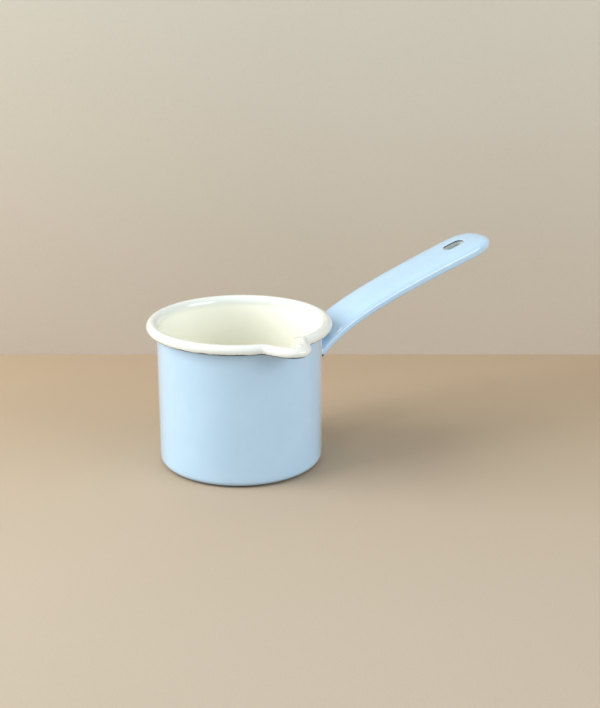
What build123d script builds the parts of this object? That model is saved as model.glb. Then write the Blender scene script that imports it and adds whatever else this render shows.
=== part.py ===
"""Enamelled steel milk pan: drawn pan with a rolled rim and one pouring lip, and a hollow handle.

Millimetres. The origin is at the centre of the base, on the plane that the pan stands on.
+X runs along the handle, -Y points out through the pouring lip and +Z is up.
"""

from math import atan2, cos, exp, hypot, pi, radians, sin, sqrt
import os

from build123d import *

# Pan
bore_r = 60.0  # inside radius of the finished pan
pan_height = 109.7  # standing plane to the top of the rim
sheet_t = 0.8  # steel sheet of the pan
enamel_t = 0.25  # each coat of enamel
heel_r = 5.5  # outside radius where the base turns up into the wall
foot_w = 11.0  # width of the flat ring that the pan stands on
dish_h = 0.8  # how far the middle of the base is raised
dish_run = 4.0  # width of the slope from the standing ring up to the raised middle
base_coat_h = 1.0  # height of the dark coat up the heel

# Rolled rim
bead_half_w = 4.1  # half of the finished bead's width
bead_half_h = 3.8  # half of its height
bead_press = 0.3  # how far the curl is pressed into the line of the steel wall
curl_t = 0.8  # steel of the curl
roll_h = 5.0  # height over which the inside rolls outwards into the rim
cream_end = -42.0  # angle down the bead's outer face where the cream coat stops
ground_end = -105.0  # angle below the bead where the blue coat begins

# Pouring lip
lip_out = 19.7  # how far the tip of the lip stands out beyond the rim
lip_rise = 0.5  # how far the tip of the lip stands above the rim
lip_half_angle = 16.5  # half of the angle that the lip takes of the rim, in degrees
flare_h = 15.0  # height of wall that flares out into the lip
flare_power = 1.7  # how late the flare turns outwards
lip_steps = 16  # spans in which the lip is lofted

# Handle
handle_len = 184.0  # along its centreline, from the wall to the nose
handle_drop = 33.7  # top of the rim down to the centreline at the wall
root_angle = 44.0  # steepness where it leaves the wall, in degrees
grip_angle = 15.5  # steepness that it settles to
bend_len = 40.0  # length over which the steepness dies away
root_w = 36.0  # width at the wall
nose_w = 40.0  # width that it grows to towards the nose
root_thick = 9.6  # depth at the wall
nose_thick = 12.6  # depth that it grows to towards the nose
nose_len = 33.0  # length of the rounded nose
roundness = 3.2  # exponent of the section: 2 is an ellipse, more is squarer
handle_sheet_t = 0.9  # steel of the two handle halves
seam_h = 0.8  # height of the weld between the halves
seam_level = -0.22  # height of that weld on the section, as a part of its depth
slot_len = 18.6  # hanging slot
slot_w = 9.5
slot_from_nose = 31.0  # nose to the middle of the slot
slot_turn_in = 2.4  # how far the slot's edges are turned into the handle
root_weld = 1.2  # leg of the weld between the handle and the wall
drain_r = 1.3  # drain hole at the near side of the handle's root
fuse_gap = 0.01  # room between the handle's steel and the layers fused to it
meet_gap = 1e-4  # faces of the lip and of the plain body that lie this close are taken as one

# Worked out from the above
side_t = enamel_t + sheet_t + enamel_t  # finished thickness of the side
wall_r = bore_r + side_t  # outside of the finished wall
steel_out_r = wall_r - enamel_t
bead_x = wall_r + bead_half_w - 2 * enamel_t - bead_press  # centre of the bead
bead_z = pan_height - bead_half_h
split_z = pan_height - flare_h - 5.0  # the body below this level is plain
flare_z = pan_height - flare_h
lip_angle = radians(lip_half_angle)
root_z = pan_height - handle_drop


# --- the pan's wall and rim, cut by an upright plane through the axis ---


def lip_share(angle):
    """How much of the lip's reach there is at an angle from its middle, from 0 to 1."""
    if abs(angle) >= lip_angle:
        return 0.0
    return 0.5 + 0.5 * cos(pi * angle / lip_angle)


def lip_slope(angle):
    """Change of the lip's reach with angle, in mm for each radian."""
    if abs(angle) >= lip_angle:
        return 0.0
    return -lip_out * 0.5 * pi / lip_angle * sin(pi * angle / lip_angle)


def bead_at(angle):
    """Centre of the bead, and how much an upright plane stretches its round section there."""
    share = lip_share(angle)
    x = bead_x + lip_out * share
    return x, bead_z + lip_rise * share, hypot(1.0, lip_slope(angle) / x)


def bead_point(angle, turn, depth):
    """Point on the bead; turn is measured from straight outwards, upwards positive."""
    x, z, stretch = bead_at(angle)
    return x + (bead_half_w - depth) * stretch * cos(turn), z + (bead_half_h - depth) * sin(turn)


def inner_point(angle, u):
    """Finished inner surface: u is 0 at the split, 1 where the roll starts and 2 at the crown."""
    top = pan_height + lip_rise * lip_share(angle)
    turn_z = top - roll_h
    if u < 1:
        z = split_z + (turn_z - split_z) * u
        roll = 0.0
    else:
        z = turn_z + roll_h * sin(pi / 2 * (u - 1))
        roll = 1 - cos(pi / 2 * (u - 1))
    share = (max(z - flare_z, 0.0) / (top - flare_z)) ** flare_power
    reach = lip_out * lip_share(angle) * share
    x = bore_r + reach + (bead_at(angle)[0] - bore_r - reach) * roll
    return x, z, share


def sheet_point(angle, u, thickness):
    """Point at a distance through the pan's side, square to the finished inner surface."""
    x, z, share = inner_point(angle, u)
    step = 1e-4
    x0, z0, _ = inner_point(angle, max(u - step, 0.0))
    x1, z1, _ = inner_point(angle, min(u + step, 2.0))
    size = hypot(x1 - x0, z1 - z0)
    out_x = (z1 - z0) / size
    out_z = (x0 - x1) / size
    slant = hypot(1.0, out_x * lip_slope(angle) * share / x)
    return x + out_x * thickness * slant, z + out_z * thickness * slant


def crease(angle, depth):
    """Where the side's outer surface first runs into the bead: its u and its turn on the bead."""
    x, z, stretch = bead_at(angle)

    def on_bead(u):
        px, pz = sheet_point(angle, u, side_t - depth)
        return (px - x) / ((bead_half_w - depth) * stretch), (pz - z) / (bead_half_h - depth)

    low = 0.0
    while hypot(*on_bead(low + 0.02)) > 1:
        low += 0.02
    high = low + 0.02
    for _ in range(40):
        mid = (low + high) / 2
        if hypot(*on_bead(mid)) > 1:
            low = mid
        else:
            high = mid
    across, up = on_bead(low)
    turn = atan2(up, across)
    return low, turn if turn < 0 else turn - 2 * pi


def to_space(angle, x, z):
    """Turn a point of the cut at an angle from the lip's middle into a point of the pan."""
    heading = angle - pi / 2
    return Vector(x * cos(heading), x * sin(heading), z)


def closed_wire(angle, runs):
    """Close the given runs of points into a wire: two points make a line, more make a curve."""
    edges = []
    for run in runs:
        points = [to_space(angle, x, z) for x, z in run]
        edges.append(Edge.make_line(*points) if len(points) == 2 else Edge.make_spline(points))
    return Wire(edges)


def shell_section(angle, depth):
    """The whole side with its rim, cut through, at a depth below every finished surface."""
    last, start = crease(angle, depth)
    wall = [sheet_point(angle, last * i / 12, side_t - depth) for i in range(13)]
    bead = [bead_point(angle, start + (pi / 2 - start) * i / 14, depth) for i in range(15)]
    wall[-1] = bead[0]
    side = [bead[-1]] + [sheet_point(angle, 2 - i / 8, depth) for i in range(1, 17)]
    return closed_wire(angle, [wall, bead, side, [side[-1], wall[0]]])


def curl_section(angle):
    """The empty middle of the rolled rim."""
    ring = [bead_point(angle, 2 * pi * i / 16, enamel_t + curl_t) for i in range(17)]
    return closed_wire(angle, [ring[:9], ring[8:]])


def ground_section(angle):
    """Wedge from the bead's centre that holds the dark coat left bare below the rim."""
    x, z, stretch = bead_at(angle)
    reach = 2 * bead_half_w
    corners = [(x, z)]
    for turn in (radians(cream_end), radians(ground_end)):
        corners.append((x + reach * stretch * cos(turn), z + reach * sin(turn)))
    return closed_wire(angle, [[corners[i], corners[(i + 1) % 3]] for i in range(3)])


def around(section):
    """A solid with this cut all the way round: plain where there is no lip, lofted through it."""
    angles = [-lip_angle + 2 * lip_angle * i / lip_steps for i in range(lip_steps + 1)]
    lip = Solid.make_loft([section(angle) for angle in angles])
    start = Face(section(lip_angle))
    plain = Solid.revolve(start, 360 - 2 * lip_half_angle, Axis.Z)
    return lip, plain


def both(operation, first, second):
    """Apply an operation to the lip sectors and to the plain sectors of two bodies."""
    return [operation(a, b) for a, b in zip(first, second)]


def common(first, second):
    """What two bodies share."""
    return Compound(first.intersect(second).solids())


def join(*shapes, gap=None):
    """Fuse shapes and clean up the faces between them."""
    result = shapes[0].fuse(*shapes[1:], tol=gap)
    return result.clean()


# --- the plain lower body, turned about the axis ---


def lower_body(depth):
    """Everything inside the lower body's outside, at a depth below the finished surface."""
    foot_out = wall_r - heel_r
    foot_in = foot_out - foot_w
    r = heel_r - depth
    base = [(0, dish_h + depth), (foot_in - dish_run, dish_h + depth), (foot_in, depth), (foot_out, depth)]
    side = [(wall_r - depth, heel_r), (wall_r - depth, split_z), (0, split_z)]
    middle = (foot_out + r * sin(pi / 4), heel_r - r * cos(pi / 4))
    points = [Vector(x, 0, z) for x, z in base + side]
    edges = [Edge.make_three_point_arc(points[3], Vector(middle[0], 0, middle[1]), points[4])]
    for i in (0, 1, 2, 4, 5, 6):
        edges.append(Edge.make_line(points[i], points[(i + 1) % 7]))
    return Solid.revolve(Face(Wire(edges)), 360, Axis.Z)


def lower_layer(outer_depth, inner_depth):
    """Layer of the lower body between two depths below its outside."""
    return lower_body(outer_depth).cut(lower_body(inner_depth))


# --- the handle ---


def steepness(s):
    return radians(grip_angle + (root_angle - grip_angle) * exp(-max(s, 0.0) / bend_len))


def centreline(s):
    """Point on the handle's centreline at a distance from the wall."""
    if s < 0:
        return wall_r + s * cos(steepness(0)), root_z + s * sin(steepness(0))
    steps = 40
    x = wall_r
    z = root_z
    for i in range(steps):
        a = steepness(s * (i + 0.5) / steps)
        x += cos(a) * s / steps
        z += sin(a) * s / steps
    return x, z


def handle_plane(s):
    """Plane across the handle: its x runs across to +Y and its y runs up through the depth."""
    x, z = centreline(s)
    a = steepness(s)
    return Plane(origin=(x, 0, z), x_dir=(0, 1, 0), z_dir=(cos(a), 0, sin(a)))


def handle_size(s, end):
    """Half width and half depth at a distance from the wall, for a handle that ends at end."""
    share = min(max(s, 0.0) / handle_len, 1.0)
    half_w = (root_w + (nose_w - root_w) * share) / 2
    half_t = (root_thick + (nose_thick - root_thick) * share) / 2
    q = min(max((s - (end - nose_len)) / nose_len, 0.0), 1.0)
    return half_w * sqrt(1 - q * q), half_t * sqrt(1 - q**4)


def rounded(half_w, half_t, count=28):
    """Closed curve of a rounded oblong section."""
    points = []
    for i in range(count):
        t = 2 * pi * i / count
        x = abs(cos(t)) ** (2 / roundness) * (1 if cos(t) >= 0 else -1)
        y = abs(sin(t)) ** (2 / roundness) * (1 if sin(t) >= 0 else -1)
        points.append(Vector(half_w * x, half_t * y))
    return Wire([Edge.make_spline(points, periodic=True)])


def handle_stations(end):
    """Distances from the wall at which the section is set."""
    along = [-14, 0, 12, 25, 40, 60, 85, 110, end - nose_len - 8]
    nose = [end - nose_len + nose_len * q for q in (0.1, 0.3, 0.5, 0.67, 0.8, 0.9, 0.96, 0.99)]
    return along + nose


def handle_solid(depth):
    """The handle's solid outline at a depth below its finished surface."""
    end = handle_len - depth
    wires = []
    for s in handle_stations(end):
        half_w, half_t = handle_size(s, end)
        half_w = max(half_w - depth, 0.6)
        half_t = max(half_t - depth, 0.4)
        wires.append(handle_plane(s) * rounded(half_w, half_t))
    return Solid.make_loft(wires)


def seam_line(offset):
    """Curve along the handle, at a distance above the middle of the seam."""
    points = []
    for i in range(15):
        s = -16 + (handle_len + 22) * i / 14
        x, z = centreline(s)
        a = steepness(s)
        share = min(max(s, 0.0) / handle_len, 1.0)
        level = seam_level * (root_thick + (nose_thick - root_thick) * share) + offset
        points.append(Vector(x - level * sin(a), -nose_w, z + level * cos(a)))
    return Edge.make_spline(points)


def handle_band(low, high):
    """Wide ribbon along the handle between two distances above the middle of the seam."""
    bottom = seam_line(low)
    top = seam_line(high)
    ends = [Edge.make_line(bottom @ 1, top @ 1), Edge.make_line(top @ 0, bottom @ 0)]
    return Solid.extrude(Face(Wire([bottom, top] + ends)), Vector(0, 2 * nose_w, 0))


slot_plane = handle_plane(handle_len - slot_from_nose)


def slot_prism(grow, low, high):
    """The hanging slot's round-ended prism between two levels on the handle's depth, grown by grow."""
    a = steepness(handle_len - slot_from_nose)
    up = Vector(-sin(a), 0, cos(a))
    base = Plane(origin=slot_plane.origin + up * low, x_dir=(cos(a), 0, sin(a)), z_dir=up)
    half = (slot_len - slot_w) / 2
    r = slot_w / 2 + grow
    corners = [Vector(-half, -r), Vector(half, -r), Vector(half, r), Vector(-half, r)]
    edges = [
        Edge.make_line(corners[0], corners[1]),
        Edge.make_three_point_arc(corners[1], Vector(half + r, 0), corners[2]),
        Edge.make_line(corners[2], corners[3]),
        Edge.make_three_point_arc(corners[3], Vector(-half - r, 0), corners[0]),
    ]
    return Solid.extrude(base * Face(Wire(edges)), up * (high - low))


def wall_cylinder(radius):
    return Solid.make_cylinder(radius, pan_height + 20)


# --- build the pan ---

coated = around(lambda angle: shell_section(angle, 0.0))
steel_filled = around(lambda angle: shell_section(angle, enamel_t))
curl_hollow = around(curl_section)
ground_wedge = around(ground_section)

coats = both(lambda a, b: a.cut(b), coated, steel_filled)
upper_steel = both(lambda a, b: a.cut(b), steel_filled, curl_hollow)
ground = both(common, coats, ground_wedge)
others = both(lambda a, b: a.cut(b), coats, ground_wedge)


def highest(pieces):
    return max(pieces, key=lambda piece: piece.bounding_box().max.Z)


def lowest_top(pieces):
    return min(pieces, key=lambda piece: piece.bounding_box().max.Z)


lining_upper = [highest(piece.solids()) for piece in others]
blue_upper = [lowest_top(piece.solids()) for piece in others]

steel_lower = lower_layer(enamel_t, enamel_t + sheet_t)
lining_lower = lower_layer(enamel_t + sheet_t, 2 * enamel_t + sheet_t)
coat_lower = lower_layer(0.0, enamel_t)
base_slab = join(Solid.make_cylinder(wall_r + 5, base_coat_h), Solid.make_cylinder(wall_r - heel_r, heel_r))
base_coat = common(coat_lower, base_slab)
blue_lower = coat_lower.cut(base_slab)

# --- build the handle ---

coat_outline = handle_solid(0.0)
steel_outline = handle_solid(enamel_t)
hollow_outline = handle_solid(enamel_t + handle_sheet_t)
weld_outline = handle_solid(enamel_t - root_weld)
weld_coat_outline = handle_solid(-root_weld)
coat_inside = handle_solid(enamel_t - fuse_gap)
weld_coat_inside = handle_solid(enamel_t - root_weld - fuse_gap)

steel_wall = wall_cylinder(steel_out_r)
coat_wall = wall_cylinder(wall_r)
weld_wall = wall_cylinder(steel_out_r + root_weld)
weld_coat_wall = wall_cylinder(wall_r + root_weld)
weld_inside_wall = wall_cylinder(steel_out_r + root_weld + fuse_gap)

reach_up = nose_thick
slot_cut = slot_prism(0.0, -reach_up, reach_up)
slot_steel = slot_prism(enamel_t, -reach_up, reach_up)
slot_collar = slot_prism(enamel_t + handle_sheet_t, -reach_up, reach_up)

slot_share = (handle_len - slot_from_nose) / handle_len
slot_half = (root_thick + (nose_thick - root_thick) * slot_share) / 2
upper_zone = slot_prism(4.0, slot_half - enamel_t - slot_turn_in, reach_up)
lower_zone = slot_prism(4.0, -reach_up, -slot_half + enamel_t + slot_turn_in)

drain = Solid.make_cylinder(
    drain_r, root_w,
    Plane(origin=(wall_r + 0.6, -root_w, root_z - 1.0), z_dir=(0, 1, 0)),
)
drain = drain.cut(Solid.make_box(200, 200, 400, Plane(origin=(0, 0, -100))))


def turned_in(zone):
    """Collar of sheet turned into the handle around the slot."""
    return common(common(steel_outline, slot_collar), zone).cut(slot_steel)


handle_sheet = steel_outline.cut(hollow_outline).cut(steel_wall).cut(slot_steel)
above_seam = handle_band(seam_h / 2, 2 * nose_thick)
below_seam = handle_band(-2 * nose_thick, -seam_h / 2)
upper_shell = join(common(handle_sheet, above_seam), turned_in(upper_zone)).cut(drain)
lower_shell = join(common(handle_sheet, below_seam), turned_in(lower_zone)).cut(drain)
seam_weld = handle_sheet.cut(above_seam).cut(below_seam).cut(drain)

ring_weld = common(weld_outline, weld_wall).cut(steel_wall).cut(coat_inside).cut(drain)
slot_ring = slot_steel.cut(slot_cut)
slot_upper = common(common(steel_outline, slot_ring), upper_zone)
slot_lower = common(common(steel_outline, slot_ring), lower_zone)

root_coat = common(weld_coat_outline, weld_coat_wall)
handle_coat = join(coat_outline, root_coat).cut(coat_wall)
handle_coat = handle_coat.cut(coat_inside).cut(common(weld_coat_inside, weld_inside_wall))
handle_coat = handle_coat.cut(slot_cut).cut(drain)
root_cut = weld_outline.cut(wall_cylinder(steel_out_r - 1))

pan_shell = join(steel_lower, *upper_steel, gap=meet_gap)
lining = join(lining_lower, *lining_upper, gap=meet_gap)
wall_coat = join(blue_lower, *blue_upper, gap=meet_gap).cut(root_cut)
ground_coat = join(*ground)

nodes = {
    "pan_shell": pan_shell,
    "lining_enamel": lining,
    "wall_enamel": wall_coat,
    "base_enamel": base_coat,
    "rim_ground_coat": ground_coat,
    "handle_upper_shell": upper_shell,
    "handle_lower_shell": lower_shell,
    "handle_seam_weld": seam_weld,
    "handle_root_weld": ring_weld,
    "handle_enamel": handle_coat,
    "slot_rim_upper": slot_upper,
    "slot_rim_lower": slot_lower,
}

os.makedirs("parts", exist_ok=True)
for name, shape in nodes.items():
    print(name, len(shape.solids()), round(shape.volume, 1), shape.is_valid)
    export_step(shape, f"parts/{name}.step")
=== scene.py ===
import bmesh
import bpy
from math import atan2, cos, exp, hypot, pi, radians, sin, sqrt
from mathutils import Matrix, Vector, noise


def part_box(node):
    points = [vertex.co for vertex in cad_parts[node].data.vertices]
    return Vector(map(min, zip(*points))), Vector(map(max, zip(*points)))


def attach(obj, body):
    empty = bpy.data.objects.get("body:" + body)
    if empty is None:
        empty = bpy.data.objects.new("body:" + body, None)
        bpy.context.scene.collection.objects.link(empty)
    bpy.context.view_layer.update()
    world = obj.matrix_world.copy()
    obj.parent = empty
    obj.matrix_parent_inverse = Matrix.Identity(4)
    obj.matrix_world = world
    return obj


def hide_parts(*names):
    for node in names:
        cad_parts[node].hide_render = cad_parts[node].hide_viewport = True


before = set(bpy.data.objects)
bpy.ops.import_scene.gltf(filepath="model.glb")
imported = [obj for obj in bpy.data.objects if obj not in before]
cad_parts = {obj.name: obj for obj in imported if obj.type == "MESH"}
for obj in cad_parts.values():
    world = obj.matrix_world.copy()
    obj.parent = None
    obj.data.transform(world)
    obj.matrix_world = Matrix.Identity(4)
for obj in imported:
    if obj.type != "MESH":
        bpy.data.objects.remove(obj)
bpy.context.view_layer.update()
mm = 0.001

# everything below works in metres, in the part's own frame: +X along the handle, -Y through the lip
rimLow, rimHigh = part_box("lining_enamel")
rimOuter = rimHigh[0]

pan = {
    "sideThick": 1.3 * mm,  # steel and both coats
    "coatThick": 0.2 * mm,  # how deep each visible coat's back lies
    "beadHalfW": 4.1 * mm,
    "beadHalfH": 3.8 * mm,
    "beadTuck": 0.8 * mm,  # the bead's inner side lies this far inside the wall's outside
    "rollHeight": 5.0 * mm,
    "flareHeight": 15.0 * mm,
    "flarePower": 1.7,
    "lipHalfAngle": radians(16.5),
    "lipRise": 0.5 * mm,
    "heelRadius": 5.5 * mm,
    "footWidth": 11.0 * mm,
    "dishHeight": 0.8 * mm,
    "dishRun": 4.0 * mm,
    "baseCoatHeight": 1.0 * mm,
    "baseCoatLap": 0.1 * mm,  # how far the dark coat runs up under the blue
    "wallRowsFrom": 1.7 * mm,  # the blue coat's rows on the heel start above this height
    "creamEnd": radians(-42),
    "groundEnd": radians(-105),
    "stepsPlain": 216,  # spans round the plain rim
    "stepsLip": 60,  # spans across the lip
    "stepsBead": 22,  # spans of the cream coat round the bead
    "stepsGround": 12,  # spans of the bare dark coat
}
lipOut = -rimLow[1] - rimOuter
rimTop = rimHigh[2] - pan["lipRise"]
wallR = rimOuter - 2 * pan["beadHalfW"] + pan["beadTuck"]
boreR = wallR - pan["sideThick"]
beadX = rimOuter - pan["beadHalfW"]
beadZ = rimTop - pan["beadHalfH"]
flareZ = rimTop - pan["flareHeight"]
splitZ = flareZ - 5 * mm
print("frame loaded: rim, lip, top in mm", [round(size / mm, 2) for size in (rimOuter, lipOut, rimTop)])


camera = {
    "place": (-0.4327, -0.7770, 0.3748),
    "heading": 32.0,  # degrees from +Y towards +X
    "pitch": 18.24,  # degrees below level
    "focal": 63.78,
    "sensor": 36.0,
}


def makeCamera(c):
    data = bpy.data.cameras.new("camera")
    data.lens = c["focal"]
    data.sensor_width = c["sensor"]
    ob = bpy.data.objects.new("camera", data)
    bpy.context.scene.collection.objects.link(ob)
    ob.location = c["place"]
    ob.rotation_euler = (radians(90 - c["pitch"]), 0, radians(-c["heading"]))
    bpy.context.scene.camera = ob


makeCamera(camera)
print("camera placed")


# a shader value that works in ordinary sums
class Sig:
    def __init__(self, mat, socket):
        self.mat = mat
        self.socket = socket

    def op(self, kind, other, swap=False):
        a, b = (other, self) if swap else (self, other)
        return self.mat.node("ShaderNodeMath", {"operation": kind}, {0: a, 1: b})

    def __add__(self, other):
        return self.op("ADD", other)

    def __radd__(self, other):
        return self.op("ADD", other, True)

    def __sub__(self, other):
        return self.op("SUBTRACT", other)

    def __rsub__(self, other):
        return self.op("SUBTRACT", other, True)

    def __mul__(self, other):
        return self.op("MULTIPLY", other)

    def __rmul__(self, other):
        return self.op("MULTIPLY", other, True)

    def __truediv__(self, other):
        return self.op("DIVIDE", other)

    def clip(self):
        return self.mat.node("ShaderNodeClamp", {}, {0: self})

    # 0 at low, 1 at high, smooth between
    def fade(self, low, high):
        settings = {"interpolation_type": "SMOOTHSTEP"}
        return self.mat.node("ShaderNodeMapRange", settings, {0: self, 1: low, 2: high, 3: 0.0, 4: 1.0})


# one material with a single shader; node() adds any other node and gives one of its outputs
class Finish:
    def __init__(self, name):
        self.data = bpy.data.materials.new(name)
        self.data.use_nodes = True
        self.tree = self.data.node_tree
        self.shader = self.tree.nodes["Principled BSDF"]

    def feed(self, target, value):
        if isinstance(value, Sig):
            self.tree.links.new(value.socket, target)
        else:
            target.default_value = value

    def node(self, kind, settings, inputs, output=0):
        n = self.tree.nodes.new(kind)
        for key, value in settings.items():
            setattr(n, key, value)
        for key, value in inputs.items():
            self.feed(n.inputs[key], value)
        return Sig(self, n.outputs[output])

    def place(self):
        return self.node("ShaderNodeTexCoord", {}, {}, "Object")

    def noise(self, vector, scale, detail=3.0, rough=0.5):
        inputs = {"Vector": vector, "Scale": scale, "Detail": detail, "Roughness": rough}
        return self.node("ShaderNodeTexNoise", {}, inputs)

    def mix(self, factor, first, second):
        inputs = {"Factor": factor, 6: first, 7: second}
        return self.node("ShaderNodeMix", {"data_type": "RGBA"}, inputs, 2)

    def axes(self, vector):
        split = self.node("ShaderNodeSeparateXYZ", {}, {0: vector})
        return [Sig(self, out) for out in split.socket.node.outputs]

    def bump(self, height, distance, strength):
        return self.node("ShaderNodeBump", {}, {"Height": height, "Distance": distance, "Strength": strength})

    def send(self, socket, value):
        self.feed(self.shader.inputs[socket], value)


# a colour given from 0 to 255 as the linear values that a shader takes
def colour(r, g, b):
    out = [c / 255 / 12.92 if c / 255 <= 0.04045 else ((c / 255 + 0.055) / 1.055) ** 2.4 for c in (r, g, b)]
    return (*out, 1.0)


glassLook = {
    "ior": 1.52,
    "coat": 0.6,
    "coatRough": 0.03,
    "peelFine": 420.0,  # noise scale of the fine waviness left by firing
    "peelStrength": 0.5,
}
creamLook = {
    "colour": colour(241, 243, 234),
    "deep": colour(243, 236, 188),  # yellower low in the pan
    "rimPaintedShade": colour(216, 222, 218),  # painted shade: greyer and darker over the rim
    "rough": 0.06,
    "peel": 0.02 * mm,
    "peelWide": 90.0,
    "cloud": 28.0,
    "fine": 240.0,
    "deepTo": 30 * mm,  # the deep shade has gone this far below the rim
    "rimPaintedShadeFrom": 9 * mm,  # the painted shade on the rim starts this far below the top
    "rimPaintedShadeFull": 3 * mm,
}
blueLook = {
    "colour": colour(173, 204, 229),
    "deep": colour(166, 197, 223),
    "pale": colour(177, 207, 231),
    "edge": colour(96, 118, 138),  # painted shade low on the heel, where the floor's contact shadow falls
    "rough": 0.06,
    "peel": 0.02 * mm,
    "peelWide": 80.0,
    "cloud": 34.0,
    "fine": 260.0,
    "heelPaintedShadeFull": 0.8 * mm,  # heights between which the painted shade low on the heel fades out
    "heelPaintedShadeEnd": 4.0 * mm,
    "heelPaintedShadeRagged": 520.0,
}
groundLook = {
    "colour": colour(46, 50, 50),
    "worn": colour(80, 80, 74),
    "rough": 0.32,
    "mottled": 380.0,
    "grain": 900.0,
    "grainDepth": 0.06 * mm,
}
steelLook = {"grain": 600.0, "scale": 60.0, "darker": 0.6, "rough": 0.42, "grainDepth": 0.02 * mm}


# the fired glass gloss that both coloured coats share
def addGloss(m, at, look):
    height = m.noise(at, glassLook["peelFine"], 2.0) * 0.5 + m.noise(at, look["peelWide"], 1.0)
    m.send("Normal", m.bump(height, look["peel"], glassLook["peelStrength"]))
    m.send("IOR", glassLook["ior"])
    m.send("Coat Weight", glassLook["coat"])
    m.send("Coat Roughness", glassLook["coatRough"])


def makeCream(look):
    m = Finish("creamEnamel")
    at = m.place()
    z = m.axes(at)[2]
    cloud = m.noise(at, look["cloud"], 3.0)
    fine = m.noise(at, look["fine"], 2.0)
    high = z.fade(2 * mm, rimTop - look["deepTo"])
    body = m.mix(high, look["deep"], look["colour"])
    # painted shade: greyer and darker over the rim
    onRim = z.fade(rimTop - look["rimPaintedShadeFrom"], rimTop - look["rimPaintedShadeFull"])
    body = m.mix(onRim, body, look["rimPaintedShade"])
    body = m.mix((cloud - 0.5).clip() * 0.25, body, look["deep"])
    m.send("Base Color", body)
    m.send("Roughness", look["rough"] + cloud * 0.04 + fine * 0.03)
    addGloss(m, at, look)
    return m


def makeBlue(look):
    m = Finish("blueEnamel")
    at = m.place()
    z = m.axes(at)[2]
    cloud = m.noise(at, look["cloud"], 3.0)
    fine = m.noise(at, look["fine"], 2.0)
    body = m.mix(cloud.fade(0.3, 0.75), look["pale"], look["colour"])
    body = m.mix(fine.fade(0.55, 0.8) * 0.25, body, look["deep"])
    # painted shade: a ragged dark band low on the heel, where the floor's contact shadow falls
    low = 1.0 - z.fade(look["heelPaintedShadeFull"], look["heelPaintedShadeEnd"])
    ragged = m.noise(at, look["heelPaintedShadeRagged"], 2.0)
    body = m.mix((low * (0.35 + ragged)).clip() * 0.8, body, look["edge"])
    m.send("Base Color", body)
    m.send("Roughness", look["rough"] + cloud * 0.05 + fine * 0.03)
    addGloss(m, at, look)
    return m


def makeGround(look):
    m = Finish("groundEnamel")
    at = m.place()
    mottled = m.noise(at, look["mottled"], 4.0, 0.65)
    m.send("Base Color", m.mix(mottled.fade(0.45, 0.75), look["colour"], look["worn"]))
    m.send("Roughness", look["rough"] + mottled * 0.25)
    m.send("Normal", m.bump(m.noise(at, look["grain"], 3.0), look["grainDepth"], 0.6))
    return m


def makeSteel(name, shade):
    m = Finish(name)
    at = m.place()
    grain = m.noise(at, steelLook["grain"], 3.0)
    scale = m.noise(at, steelLook["scale"], 4.0)
    dark = tuple(c * steelLook["darker"] for c in shade[:3]) + (1.0,)
    m.send("Base Color", m.mix(scale.fade(0.4, 0.7), shade, dark))
    m.send("Metallic", 1.0)
    m.send("Roughness", steelLook["rough"] + grain * 0.2)
    m.send("Normal", m.bump(grain, steelLook["grainDepth"], 0.4))
    return m


# thin coat on the slot's turned-in edges: dark at the sharp edge, where the dark coat is bare; further in
# painted light, pale where the slot's inside lies in shade
def makeSlotEdge(look):
    m = Finish("slotEdge")
    at = m.place()
    x, _, z = m.axes(at)
    mottled = m.noise(at, 700.0, 3.0)
    level = z * cos(look["slope"]) - x * sin(look["slope"])
    fromEdge = (level - look["middle"]) / look["half"]
    dark = fromEdge.fade(0.76, 0.86) + (mottled - 0.55).clip() * 0.5
    # painted light: the pale inside colour stands where the slot's inside lies in shade
    m.send("Base Color", m.mix(dark.clip(), look["inside"], look["edge"]))
    m.send("Roughness", 0.15 + mottled * 0.2)
    m.send("Normal", m.bump(mottled, 0.05 * mm, 0.4))
    return m


cream = makeCream(creamLook)
blue = makeBlue(blueLook)
ground = makeGround(groundLook)
panSteel = makeSteel("panSteel", colour(150, 152, 156))
handleSteel = makeSteel("handleSteel", colour(120, 128, 136))
weldSteel = makeSteel("weldSteel", colour(120, 120, 122))
print("materials made")


def addMesh(name, points, faces, finish):
    mesh = bpy.data.meshes.new(name)
    mesh.from_pydata([tuple(p) for p in points], [], faces)
    mesh.validate()
    mesh.update()
    for poly in mesh.polygons:
        poly.use_smooth = True
    ob = bpy.data.objects.new(name, mesh)
    bpy.context.scene.collection.objects.link(ob)
    mesh.materials.append(finish.data)
    return ob


# angles round the pan from the lip's middle, closer together across the lip
def headings():
    edge = pan["lipHalfAngle"] * 1.15
    lip = [-edge + 2 * edge * i / pan["stepsLip"] for i in range(pan["stepsLip"])]
    rest = 2 * pi - 2 * edge
    return lip + [edge + rest * i / pan["stepsPlain"] for i in range(pan["stepsPlain"])]


def fixNormals(ob):
    bm = bmesh.new()
    bm.from_mesh(ob.data)
    bmesh.ops.recalc_face_normals(bm, faces=bm.faces)
    bm.to_mesh(ob.data)
    bm.free()


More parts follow.
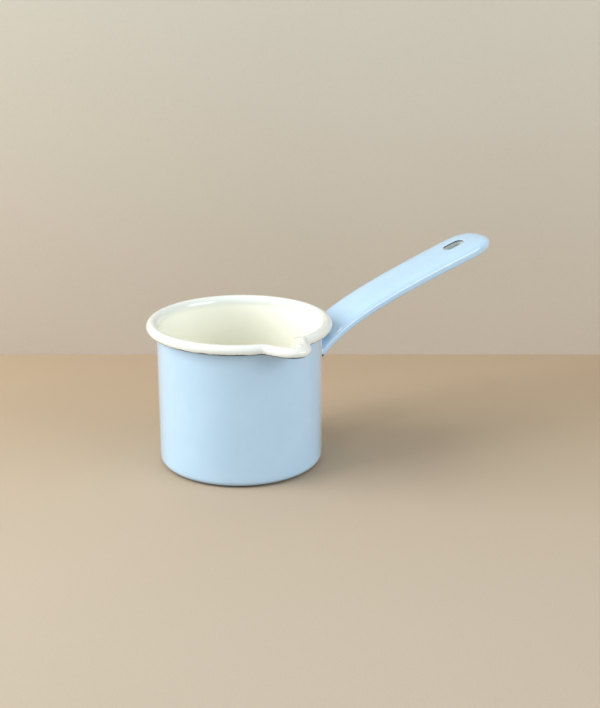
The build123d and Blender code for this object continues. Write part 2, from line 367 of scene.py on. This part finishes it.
# closed skin round the axis; profile(angle) lists (radius, height) round the skin's cut
# with poles, the list's first and last points lie on the axis and close the skin there
def spin(name, profile, finish, poles=(False, False)):
    angles = headings()
    rings = [profile(a) for a in angles]
    count = len(rings[0])
    points = []
    faces = []
    first, last = (1 if poles[0] else 0), (count - 1 if poles[1] else count)
    span = last - first
    for a, ring in zip(angles, rings):
        for r, z in ring[first:last]:
            points.append((r * sin(a), -r * cos(a), z))
    turns = len(angles)
    for i in range(turns):
        j = (i + 1) % turns
        for k in range(span - 1 if any(poles) else span):
            n = (k + 1) % span
            faces.append((i * span + k, i * span + n, j * span + n, j * span + k))
    for wanted, at in zip(poles, (0, count - 1)):
        if wanted:
            tip = len(points)
            points.append((0.0, 0.0, rings[0][at][1]))
            k = 0 if at == 0 else span - 1
            for i in range(turns):
                j = (i + 1) % turns
                side = (i * span + k, j * span + k, tip)
                faces.append(side if at == 0 else side[::-1])
    ob = addMesh(name, points, faces, finish)
    fixNormals(ob)
    return ob


# slow unevenness round the rim, as a sum of (turns, size, shift)
def wave(angle, parts):
    return sum(size * sin(turns * angle + shift) for turns, size, shift in parts)


rimUneven = [(3, 0.10 * mm, 0.4), (7, 0.06 * mm, 2.1), (13, 0.04 * mm, 0.9)]


def lipShare(angle):
    angle = (angle + pi) % (2 * pi) - pi
    if abs(angle) >= pan["lipHalfAngle"]:
        return 0.0
    return 0.5 + 0.5 * cos(pi * angle / pan["lipHalfAngle"])


def lipSlope(angle):
    angle = (angle + pi) % (2 * pi) - pi
    if abs(angle) >= pan["lipHalfAngle"]:
        return 0.0
    return -lipOut * 0.5 * pi / pan["lipHalfAngle"] * sin(pi * angle / pan["lipHalfAngle"])


def beadAt(angle):
    share = lipShare(angle)
    x = beadX + lipOut * share
    return x, beadZ + pan["lipRise"] * share, hypot(1.0, lipSlope(angle) / x)


def beadPoint(angle, turn, depth):
    x, z, stretch = beadAt(angle)
    sag = wave(angle, rimUneven) * 0.5 * max(0.0, -sin(turn))
    return (x + (pan["beadHalfW"] - depth) * stretch * cos(turn),
            z + (pan["beadHalfH"] - depth) * sin(turn) + sag)


def innerPoint(angle, u):
    top = rimTop + pan["lipRise"] * lipShare(angle)
    turnZ = top - pan["rollHeight"]
    if u < 1:
        z = splitZ + (turnZ - splitZ) * u
        roll = 0.0
    else:
        z = turnZ + pan["rollHeight"] * sin(pi / 2 * (u - 1))
        roll = 1 - cos(pi / 2 * (u - 1))
    share = (max(z - flareZ, 0.0) / (top - flareZ)) ** pan["flarePower"]
    reach = lipOut * lipShare(angle) * share
    return boreR + reach + (beadAt(angle)[0] - boreR - reach) * roll, z, share


# point at a distance through the side, square to the inner surface
def sidePoint(angle, u, through):
    x, z, share = innerPoint(angle, u)
    step = 1e-4
    x0, z0, _ = innerPoint(angle, max(u - step, 0.0))
    x1, z1, _ = innerPoint(angle, min(u + step, 2.0))
    size = hypot(x1 - x0, z1 - z0)
    outX = (z1 - z0) / size
    outZ = (x0 - x1) / size
    slant = hypot(1.0, outX * lipSlope(angle) * share / x)
    return x + outX * through * slant, z + outZ * through * slant


# where the side's outside meets the bead: its u and its turn on the bead
def crease(angle, depth):
    x, z, stretch = beadAt(angle)

    def onBead(u):
        px, pz = sidePoint(angle, u, pan["sideThick"] - depth)
        return (px - x) / ((pan["beadHalfW"] - depth) * stretch), (pz - z) / (pan["beadHalfH"] - depth)

    low = 0.0
    while hypot(*onBead(low + 0.02)) > 1:
        low += 0.02
    high = low + 0.02
    for _ in range(24):
        mid = (low + high) / 2
        low, high = (mid, high) if hypot(*onBead(mid)) > 1 else (low, mid)
    across, up = onBead(low)
    turn = atan2(up, across)
    return low, turn if turn < 0 else turn - 2 * pi


flatRows = 19  # points of lowerPoints from the centre to the end of the flat foot


# underside, heel and wall at a depth below the outside, up to the split
# with a start, the heel begins at that height and the underside is left out
def lowerPoints(depth, start=0.0):
    footOut = wallR - pan["heelRadius"]
    footIn = footOut - pan["footWidth"]
    r = pan["heelRadius"] - depth
    points = []
    if start == 0.0:
        rise = pan["dishHeight"]
        for t in (0.0, 0.12, 0.3, 0.5, 0.7, 0.86, 0.96):
            points.append(((footIn - pan["dishRun"]) * t, rise + depth))
        for i in range(9):
            t = i / 8
            points.append((footIn - pan["dishRun"] * (1 - t), depth + rise * (0.5 + 0.5 * cos(pi * t))))
        points += [(footIn + pan["footWidth"] * t, depth) for t in (0.15, 0.5, 0.85)]
    for i in range(13):
        a = pi / 2 * i / 12
        z = pan["heelRadius"] - r * cos(a)
        if z >= start:
            points.append((footOut + r * sin(a), z))
    for t in (0.02, 0.06, 0.14, 0.26, 0.4, 0.55, 0.7, 0.84, 0.94):
        points.append((wallR - depth, pan["heelRadius"] + (splitZ - pan["heelRadius"]) * t))
    return points


# point on the heel at a height
def heelPoint(depth, z):
    footOut = wallR - pan["heelRadius"]
    r = pan["heelRadius"] - depth
    c = (pan["heelRadius"] - z) / r
    return footOut + r * sqrt(max(1 - c * c, 0.0)), z


edgeUneven = {"size": 9.0, "amount": radians(11), "fine": 34.0, "fineAmount": radians(8), "lift": radians(5)}


# the uneven angle on the bead where the cream coat stops
def creamEdge(angle):
    e = edgeUneven
    at = Vector((cos(angle), sin(angle), 0.0))
    slow = noise.noise(at * e["size"])
    quick = noise.noise(at * e["fine"] + Vector((3.1, 0.2, 5.0)))
    return pan["creamEnd"] + e["lift"] + e["amount"] * slow + e["fineAmount"] * quick


# front of the cream coat from the floor's centre over the rim, then its back
def liningProfile(angle):
    def half(depth, tail):
        floor = lowerPoints(pan["sideThick"] - depth)
        side = [sidePoint(angle, i / 12, depth) for i in range(12)]
        side += [sidePoint(angle, 1 + i / 14, depth) for i in range(14)]
        end = creamEdge(angle)
        steps = pan["stepsBead"]
        bead = []
        for i in range(steps + 1):
            turn = pi / 2 + (end - pi / 2) * i / steps
            bead.append(beadPoint(angle, turn, depth - tail * (i / steps) ** 6))
        return floor + side + bead

    front = half(0.0, 0.05 * mm)  # the coat's free edge stands a little proud
    back = half(pan["coatThick"], 0.0)
    return front + back[::-1]


# round the corner at an index with a curve from reach points before it to reach points after it
def smoothCorner(points, index, reach):
    a, b, c = points[index - reach], points[index], points[index + reach]
    count = 2 * reach
    curve = []
    for i in range(count + 1):
        t = i / count
        curve.append(tuple((1 - t) ** 2 * p + 2 * t * (1 - t) * q + t * t * r for p, q, r in zip(a, b, c)))
    return points[:index - reach] + curve + points[index + reach + 1:]


heelUneven = {"size": 22, "amount": 0.25 * mm, "shift": 1.7}


# how far the coats' meeting line on the heel strays from its height
def heelStray(angle):
    e = heelUneven
    return e["amount"] * noise.noise(Vector((cos(angle) * e["size"], sin(angle) * e["size"], e["shift"])))


# front of the blue coat from the heel up into the crease and round below the bead, then its back
def wallProfile(angle):
    def half(depth):
        last, turn = crease(angle, depth)
        low = pan["baseCoatHeight"] + heelStray(angle)
        lower = [heelPoint(depth, low)] + lowerPoints(depth, pan["wallRowsFrom"])
        side = [sidePoint(angle, last * t, pan["sideThick"] - depth)
                for t in (0, .1, .2, .3, .4, .5, .6, .7, .78, .85, .9, .94, .97, 1.0)]
        corner = len(lower) + len(side) - 1
        bead = [beadPoint(angle, turn + (pan["groundEnd"] - turn) * i / 10, depth) for i in range(1, 11)]
        return smoothCorner(lower + side + bead, corner, 3)

    return half(0.0) + half(pan["coatThick"])[::-1]


# the dark coat left bare between the cream and the blue, which lap over its two edges
def groundProfile(angle):
    start = creamEdge(angle) + radians(3)
    span = pan["groundEnd"] - radians(1) - start
    steps = pan["stepsGround"]
    turns = [start + span * i / steps for i in range(steps + 1)]
    front = [beadPoint(angle, t, 0.03 * mm) for t in turns]
    back = [beadPoint(angle, t, pan["coatThick"]) for t in turns]
    return front + back[::-1]


# the dark coat below the pan, from the centre to its edge on the heel
def baseProfile(angle):
    top = pan["baseCoatHeight"] + heelStray(angle) + pan["baseCoatLap"]

    def half(depth, heelDepth):
        heel = [heelPoint(heelDepth, depth + (top - depth) * t) for t in (0.03, 0.12, 0.3, 0.55, 0.8, 1.0)]
        return lowerPoints(depth)[:flatRows] + heel

    front = half(0.0, 0.02 * mm)  # on the heel the front lies just under the blue
    return front + half(pan["coatThick"], pan["coatThick"])[::-1]


lining = spin("creamLining", liningProfile, cream, (True, True))
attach(lining, "root")
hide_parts("lining_enamel")

wallCoat = spin("blueWall", wallProfile, blue)
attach(wallCoat, "root")
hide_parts("wall_enamel")

rimLine = spin("rimGroundLine", groundProfile, ground)
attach(rimLine, "root")
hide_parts("rim_ground_coat")

baseCoat = spin("baseCoat", baseProfile, ground, (True, True))
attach(baseCoat, "root")
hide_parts("base_enamel")
print("pan coats made")

handle = {
    "length": 184.0 * mm,
    "drop": 33.7 * mm,
    "rootAngle": radians(44.0),
    "gripAngle": radians(15.5),
    "bendLength": 40.0 * mm,
    "rootW": 36.0 * mm,
    "noseW": 40.0 * mm,
    "rootThick": 9.6 * mm,
    "noseThick": 12.6 * mm,
    "noseLength": 33.0 * mm,
    "rootRound": 3.0,  # section's exponent at the wall; 2 is an ellipse
    "noseRound": 3.3,
    "tipRound": 2.4,
    "nosePlan": 2.5,  # how full the nose is, seen from above; 2 is an ellipse
    "slotLength": 18.6 * mm,
    "slotW": 9.5 * mm,
    "slotFromNose": 31.0 * mm,
    "filletReach": 3.9 * mm,
    "filletSize": 2.3 * mm,
    "filletPower": 2.2,
    "rootSink": 0.12 * mm,  # the coat's edge at the root lies this far inside the wall's outside
    "drainR": 1.2 * mm,
    "around": 132,
    "crowd": 0.16,  # draws the points round the section towards its corners
    "rootRows": 26,
    "rootRun": 16 * mm,  # the rows follow the wall's curve up to this distance
    "gripRows": 56,
    "noseRows": 30,
}
rootZ = rimTop - handle["drop"]


def steepness(s):
    h = handle
    return h["gripAngle"] + (h["rootAngle"] - h["gripAngle"]) * exp(-max(s, 0.0) / h["bendLength"])


def centreline(s):
    if s < 0:
        return wallR + s * cos(steepness(0)), rootZ + s * sin(steepness(0))
    x, z = wallR, rootZ
    steps = 40
    for i in range(steps):
        a = steepness(s * (i + 0.5) / steps)
        x += cos(a) * s / steps
        z += sin(a) * s / steps
    return x, z


lineCache = {}


def station(s):
    key = round(s * 1e7)
    if key not in lineCache:
        lineCache[key] = (*centreline(s), steepness(s))
    return lineCache[key]


# point of the handle's surface at a distance along it and a turn round its section
def handlePoint(s, t, depth):
    h = handle
    end = h["length"] - depth
    share = min(max(s / h["length"], 0.0), 1.0)
    halfW = (h["rootW"] + (h["noseW"] - h["rootW"]) * share) / 2
    halfT = (h["rootThick"] + (h["noseThick"] - h["rootThick"]) * share) / 2
    q = min(max((s - (end - h["noseLength"])) / h["noseLength"], 0.0), 1.0)
    halfW = max(halfW * (1 - q ** h["nosePlan"]) ** (1 / h["nosePlan"]) - depth, 0.0)
    halfT = max(halfT * sqrt(1 - q ** 4) - depth, 0.0)
    n = h["rootRound"] + (h["noseRound"] - h["rootRound"]) * share
    n = n + (h["tipRound"] - n) * q ** 6
    across = abs(cos(t)) ** (2 / n) * (1 if cos(t) >= 0 else -1) * halfW
    up = abs(sin(t)) ** (2 / n) * (1 if sin(t) >= 0 else -1) * halfT
    x, z, a = station(s)
    return Vector((x - up * sin(a), across, z + up * cos(a)))


# direction square to the section's edge
def sectionOut(s, t):
    a = steepness(s)
    step = 0.02
    p = handlePoint(s, t - step, 0.0)
    q = handlePoint(s, t + step, 0.0)
    along = Vector((cos(a), 0.0, sin(a)))
    return (q - p).cross(along).normalized()


# the surface with the coat's fillet where it runs on to the wall
def filleted(s, t, depth):
    p = handlePoint(s, t, depth)
    gap = hypot(p.x, p.y) - wallR
    reach = handle["filletReach"]
    if gap >= reach:
        return p
    return p + sectionOut(s, t) * handle["filletSize"] * (1 - max(gap, 0.0) / reach) ** handle["filletPower"]


# distance along the handle at which this line of the surface meets the wall, found by halving
def rootStart(t, depth):
    low, high = -16 * mm, 14 * mm
    for _ in range(22):
        mid = (low + high) / 2
        p = handlePoint(mid, t, depth)
        low, high = (mid, high) if hypot(p.x, p.y) < wallR - handle["rootSink"] else (low, mid)
    return high


# rows of points from the wall to the nose's tip, each row running round the section
def handleSheet(depth):
    h = handle
    count = h["around"]
    turns = []
    for i in range(count):
        t = 2 * pi * i / count
        turns.append(t - h["crowd"] * sin(4 * t))
    starts = [rootStart(t, depth) for t in turns]
    join = h["rootRun"]
    rows = []
    for i in range(h["rootRows"]):
        w = (i / h["rootRows"]) ** 1.6
        rows.append([filleted(s0 + (join - s0) * w, t, depth) for s0, t in zip(starts, turns)])
    end = h["length"] - depth
    plainEnd = end - h["noseLength"]
    for i in range(h["gripRows"]):
        rows.append([handlePoint(join + (plainEnd - join) * i / h["gripRows"], t, depth) for t in turns])
    for i in range(h["noseRows"]):
        q = sin(pi / 2 * i / h["noseRows"])
        rows.append([handlePoint(plainEnd + h["noseLength"] * q, t, depth) for t in turns])
    tip = handlePoint(end, 0.0, depth)
    return rows, tip


def handleMesh(name, depthOut, depthIn, finish):
    count = handle["around"]
    points = []
    faces = []
    firsts = []
    for depth in (depthOut, depthIn):
        rows, tip = handleSheet(depth)
        first = len(points)
        firsts.append(first)
        for row in rows:
            points += row
        for i in range(len(rows) - 1):
            for k in range(count):
                n = (k + 1) % count
                a = first + i * count
                faces.append((a + k, a + n, a + count + n, a + count + k))
        last = first + (len(rows) - 1) * count
        points.append(tip)
        for k in range(count):
            faces.append((last + k, last + (k + 1) % count, len(points) - 1))
    for k in range(count):
        n = (k + 1) % count
        faces.append((firsts[0] + k, firsts[1] + k, firsts[1] + n, firsts[0] + n))
    ob = addMesh(name, points, faces, finish)
    fixNormals(ob)
    return ob


slotX, slotZ, slotSlope = station(handle["length"] - handle["slotFromNose"])
slotCentre = Vector((slotX, 0, slotZ))
slotUp = Vector((-sin(slotSlope), 0, cos(slotSlope)))


# point on an outline that lies this far outside the slot's, from the slot's centre
def slotOutline(t, out):
    half = (handle["slotLength"] - handle["slotW"]) / 2
    r = handle["slotW"] / 2 + out
    along = Vector((cos(slotSlope), 0, sin(slotSlope)))
    return along * (cos(t) * r + (half if cos(t) > 0 else -half)) + Vector((0, 1, 0)) * sin(t) * r


# side faces and two ends of a closed prism whose two rings of points start at base
def prismFaces(base, sides):
    ends = [tuple(base + i for i in range(sides)), tuple(base + sides + i for i in range(sides))[::-1]]
    walls = []
    for i in range(sides):
        n = (i + 1) % sides
        walls.append((base + i, base + sides + i, base + sides + n, base + n))
    return ends + walls


# round-ended block through the slot and a rod through the drain hole
def slotCutter():
    sides = 48
    ring = [slotOutline(2 * pi * (i + 0.5) / sides, 0.0) for i in range(sides)]
    points = [slotCentre + p + slotUp * lift for lift in (-12 * mm, 12 * mm) for p in ring]
    faces = prismFaces(0, sides)
    rodSides = 20
    faces += prismFaces(len(points), rodSides)
    r = handle["drainR"]
    for y in (-30 * mm, 0.0):
        for i in range(rodSides):
            t = 2 * pi * i / rodSides
            points.append(Vector((wallR + 0.6 * mm + cos(t) * r, y, rootZ - mm + sin(t) * r)))
    ob = addMesh("slotCutter", points, faces, ground)
    fixNormals(ob)
    return ob


slotBand = {
    "thick": 0.22 * mm,
    "lip": 0.16 * mm,  # how far the rounded edge stands into the slot
    "upper": (5.9 * mm, 1.1 * mm),  # levels on the handle's depth, from its middle
    "lower": (-1.3 * mm, -5.9 * mm),
    "around": 96,
}


# closed skin that lines the slot between two levels, its visible edge rounded into the slot
def slotBandMesh(name, top, bottom, finish):
    outer = 1 if top > 0 else -1
    edge, deep = (top, bottom) if outer > 0 else (bottom, top)
    cut = []
    for i in range(7):
        t = pi / 2 * i / 6
        cut.append((slotBand["thick"] * (1 - sin(t)) - slotBand["lip"] * sin(t) * cos(t),
                    edge - outer * 0.35 * mm * (1 - cos(t))))
    cut += [(0.0, edge + (deep - edge) * share) for share in (0.3, 0.6, 0.9, 1.0)]
    cut += [(slotBand["thick"], deep), (slotBand["thick"], edge - outer * 0.2 * mm)]
    points = []
    faces = []
    count = slotBand["around"]
    span = len(cut)
    for i in range(count):
        t = 2 * pi * (i + 0.5) / count
        for out, level in cut:
            points.append(slotCentre + slotOutline(t, out) + slotUp * level)
    for i in range(count):
        for k in range(span):
            n = (k + 1) % span
            j = (i + 1) % count
            faces.append((i * span + k, i * span + n, j * span + n, j * span + k))
    ob = addMesh(name, points, faces, finish)
    fixNormals(ob)
    return ob


# take the cutter out of a piece for good, then drop the cutter
def cutAway(ob, cutter):
    mod = ob.modifiers.new("cut", "BOOLEAN")
    mod.operation = "DIFFERENCE"
    mod.solver = "EXACT"
    mod.object = cutter
    bpy.context.view_layer.update()
    graph = bpy.context.evaluated_depsgraph_get()
    mesh = bpy.data.meshes.new_from_object(ob.evaluated_get(graph))
    ob.modifiers.clear()
    ob.data = mesh
    bpy.data.objects.remove(cutter)


slotEdge = makeSlotEdge({
    "edge": colour(40, 52, 62),
    # painted light: pale where the slot's inside lies in shade
    "inside": colour(206, 216, 216),
    "slope": slotSlope,
    "middle": slotZ * cos(slotSlope) - slotX * sin(slotSlope),
    "half": slotBand["upper"][0] + 0.15 * mm,
})
handleCoat = handleMesh("blueHandle", 0.0, pan["coatThick"], blue)
cutAway(handleCoat, slotCutter())
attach(handleCoat, "root")
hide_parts("handle_enamel")

for name, node, levels in (("slotEdgeUpper", "slot_rim_upper", slotBand["upper"]),
                           ("slotEdgeLower", "slot_rim_lower", slotBand["lower"])):
    band = slotBandMesh(name, *levels, slotEdge)
    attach(band, "root")
    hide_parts(node)
print("handle made", len(handleCoat.data.polygons))

# the hidden steel stays as it comes and only gets its finishes
steelFinishes = {
    "pan_shell": panSteel,
    "handle_upper_shell": handleSteel,
    "handle_lower_shell": handleSteel,
    "handle_seam_weld": weldSteel,
    "handle_root_weld": weldSteel,
}
for node, finish in steelFinishes.items():
    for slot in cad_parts[node].material_slots:
        slot.material = finish.data
print("steel finished")

studio = {
    # near and far, top and low: painted shade, darker and browner towards the corner where floor and backdrop
    # meet
    "floorNear": colour(179, 167, 150),
    "floorFar": colour(176, 156, 131),
    "wallTop": colour(190, 189, 178),
    "wallLow": colour(186, 176, 161),
    "half": 2.5,
    "wallDistance": 0.248,
    "gap": 0.03 * mm,
    "world": (0.80, 0.84, 0.88),
    "worldPower": 0.78,
}
lights = {
    # name: place and aim seen from the camera (right, away, up), width, height, power, colour
    "softbox": ((-1.25, -0.30, 0.80), (0.0, 0.0, 0.08), 1.1, 1.2, 29, (1.0, 0.985, 0.965)),
    "fill": ((1.3, -0.7, 0.6), (0.0, 0.0, 0.06), 1.2, 1.0, 13, (0.97, 0.985, 1.0)),
    "strip": ((-0.08, -0.31, 1.28), (0.15, 0.05, 0.12), 0.14, 0.05, 0.9, (1.0, 0.99, 0.98)),
}


# turn right, away and up as seen from the camera into the part's frame
def fromCamera(place):
    return Matrix.Rotation(radians(-camera["heading"]), 3, "Z") @ Vector(place)


def makeStage(s):
    half = s["half"]
    corner = (s["wallDistance"], -s["gap"])
    floorLine = ((-half * 1.4, -s["gap"]), corner)
    wallLine = (corner, (s["wallDistance"], half))
    rises = fromCamera((0, 1, 0))
    for name, line, near, far in (("floor", floorLine, s["floorNear"], s["floorFar"]),
                                  ("backdrop", wallLine, s["wallTop"], s["wallLow"])):
        points = [fromCamera((x, away, up)) for away, up in line for x in (-half, half)]
        faces = [(0, 1, 3, 2)]
        m = Finish(name)
        at = m.place()
        speck = m.noise(at, 900.0, 3.0, 0.7)
        cloud = m.noise(at, 6.0, 2.0)
        x, y, z = m.axes(at)
        if name == "floor":
            # painted shade: the floor darkens and browns towards the backdrop
            share = (x * rises.x + y * rises.y).fade(-0.30, s["wallDistance"])
        else:
            # painted shade: the backdrop darkens towards the floor
            share = 1.0 - z.fade(0.0, 0.55)
        shade = m.mix(share, near, far)
        darker = m.mix(0.12, shade, (0.0, 0.0, 0.0, 1.0))
        m.send("Base Color", m.mix((speck.fade(0.3, 0.75) * 0.5 + cloud * 0.3).clip(), shade, darker))
        m.send("Roughness", 0.7 + speck * 0.2)
        m.send("Normal", m.bump(speck, 0.05 * mm, 0.3))
        m.send("Specular IOR Level", 0.2)
        addMesh(name, points, faces, m)


def makeLight(name, place, aim, width, height, power, shade):
    data = bpy.data.lights.new(name, "AREA")
    data.shape = "RECTANGLE"
    data.size = width
    data.size_y = height
    data.energy = power
    data.color = shade
    ob = bpy.data.objects.new(name, data)
    ob.location = fromCamera(place)
    ob.rotation_euler = (fromCamera(aim) - ob.location).to_track_quat("-Z", "Y").to_euler()
    bpy.context.scene.collection.objects.link(ob)


makeStage(studio)
for name, values in lights.items():
    makeLight(name, *values)
world = bpy.data.worlds.new("studioWorld")
world.use_nodes = True
world.node_tree.nodes["Background"].inputs[0].default_value = (*studio["world"], 1.0)
world.node_tree.nodes["Background"].inputs[1].default_value = studio["worldPower"]
bpy.context.scene.world = world
bpy.context.scene.view_settings.view_transform = "Standard"
print("stage and lights made")
